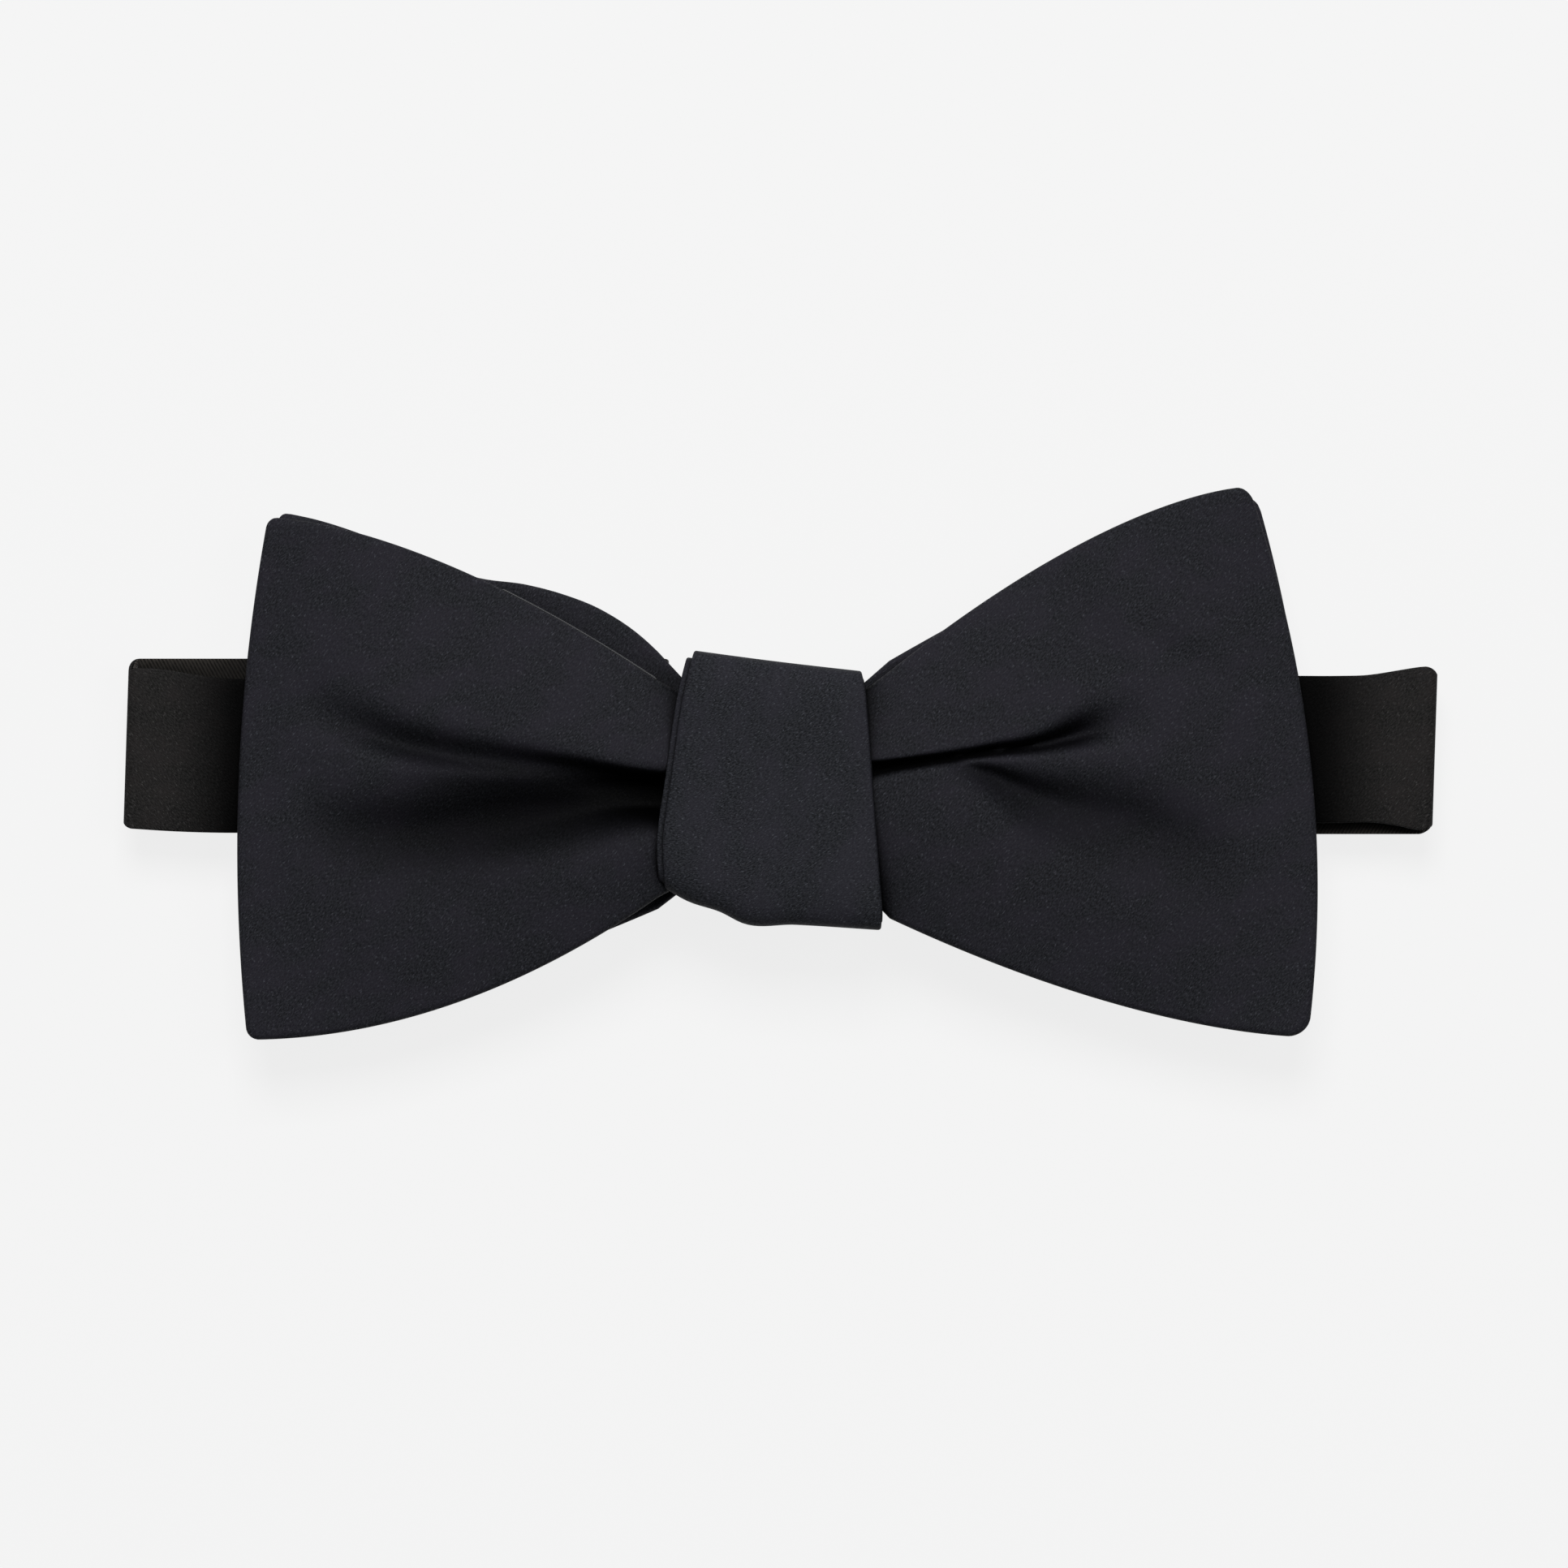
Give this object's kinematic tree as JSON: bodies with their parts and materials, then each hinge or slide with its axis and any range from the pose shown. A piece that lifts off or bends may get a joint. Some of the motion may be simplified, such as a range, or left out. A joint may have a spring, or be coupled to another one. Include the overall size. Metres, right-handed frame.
{
  "type": "bow tie",
  "caption": "Pre-tied midnight satin bow tie lying face up, its lined neck band folded behind the bow, with a hook, an eye plate and a slider for length.",
  "frame": {"origin": "middle of the underside of the folded tie", "axes": "+X along the bow to the right as seen from the front, +Y up the bow, +Z out of its front"},
  "size_m": [0.146, 0.0614, 0.0172],
  "materials": {
    "satin": "near-black midnight satin with fine slubs",
    "lining": "brownish black ribbed twill",
    "interlining": "undyed brushed interlining",
    "thread": "black polyester sewing thread",
    "nickel": "satin nickel plate on stamped metal"
  },
  "bodies": {
    "bow": {"front_bow_face": "satin", "front_bow_interlining": "interlining", "front_bow_back": "satin", "rear_bow_face": "satin", "rear_bow_interlining": "interlining", "rear_bow_back": "satin", "waist_binding": "thread", "knot_wrap": "satin", "knot_inner_wrap": "satin", "knot_back_stitches": "thread", "front_band_satin": "satin", "front_band_lining": "lining", "left_outer_fold_satin": "satin", "left_outer_fold_lining": "lining", "right_outer_fold_satin": "satin", "right_outer_fold_lining": "lining"},
    "left_middle_run": {"left_middle_band_satin": "satin", "left_middle_band_lining": "lining", "left_inner_fold_satin": "satin", "left_inner_fold_lining": "lining"},
    "left_end_run": {"left_end_band_satin": "satin", "left_end_band_lining": "lining", "hook_loop_satin": "satin", "hook_loop_lining": "lining", "hook_bar_tack": "thread"},
    "hook": {"hook": "nickel"},
    "right_middle_run": {"right_middle_band_satin": "satin", "right_middle_band_lining": "lining", "right_inner_fold_satin": "satin", "right_inner_fold_lining": "lining"},
    "right_end_run": {"right_end_band_satin": "satin", "right_end_band_lining": "lining"},
    "adjuster": {"adjuster_loop_satin": "satin", "adjuster_loop_lining": "lining", "tail_satin": "satin", "tail_lining": "lining"},
    "eye": {"eye": "nickel"},
    "slider": {"slider": "nickel", "slider_loop_satin": "satin", "slider_loop_lining": "lining", "slider_bar_tack": "thread"}
  },
  "joints": [
    {"name": "left_unfold", "type": "hinge", "parent": "bow", "child": "left_middle_run", "pos_m": [-0.0716, 0.0017, 0.0065], "axis": [0, 1, 0], "range_deg": [0, 170], "deforming": ["left_outer_fold_satin", "left_outer_fold_lining"]},
    {"name": "left_refold", "type": "hinge", "parent": "left_middle_run", "child": "left_end_run", "pos_m": [-0.014, 0.0021, 0.00445], "axis": [0, 1, 0], "range_deg": [-170, 0], "deforming": ["left_inner_fold_satin", "left_inner_fold_lining"]},
    {"name": "hook_swing", "type": "hinge", "parent": "left_end_run", "child": "hook", "pos_m": [-0.05, 0.0021, 0.0019], "axis": [0, -1, 0], "range_deg": [0, 90]},
    {"name": "right_unfold", "type": "hinge", "parent": "bow", "child": "right_middle_run", "pos_m": [0.0716, 0.0017, 0.0065], "axis": [0, -1, 0], "range_deg": [0, 170], "deforming": ["right_outer_fold_satin", "right_outer_fold_lining"]},
    {"name": "right_refold", "type": "hinge", "parent": "right_middle_run", "child": "right_end_run", "pos_m": [0.014, 0.0014, 0.00445], "axis": [0, -1, 0], "range_deg": [-170, 0], "deforming": ["right_inner_fold_satin", "right_inner_fold_lining"]},
    {"name": "eye_slide", "type": "slide", "parent": "right_end_run", "child": "adjuster", "axis": [1, 0, 0], "range_m": [-0.006, 0.004], "deforming": ["adjuster_loop_satin", "adjuster_loop_lining"]},
    {"name": "slider_slide", "type": "slide", "parent": "adjuster", "child": "slider", "axis": [1, 0, 0], "range_m": [-0.006, 0.004], "deforming": ["tail_satin", "tail_lining"]},
    {"name": "eye_swing", "type": "hinge", "parent": "adjuster", "child": "eye", "pos_m": [0.045, 0.0014, 0.0019], "axis": [0, 1, 0], "range_deg": [0, 90]}
  ],
  "couplings": [
    {"joint": "left_refold", "follows": "left_unfold", "ratio": -1},
    {"joint": "right_refold", "follows": "right_unfold", "ratio": -1},
    {"joint": "slider_slide", "follows": "eye_slide", "ratio": 1}
  ]
}
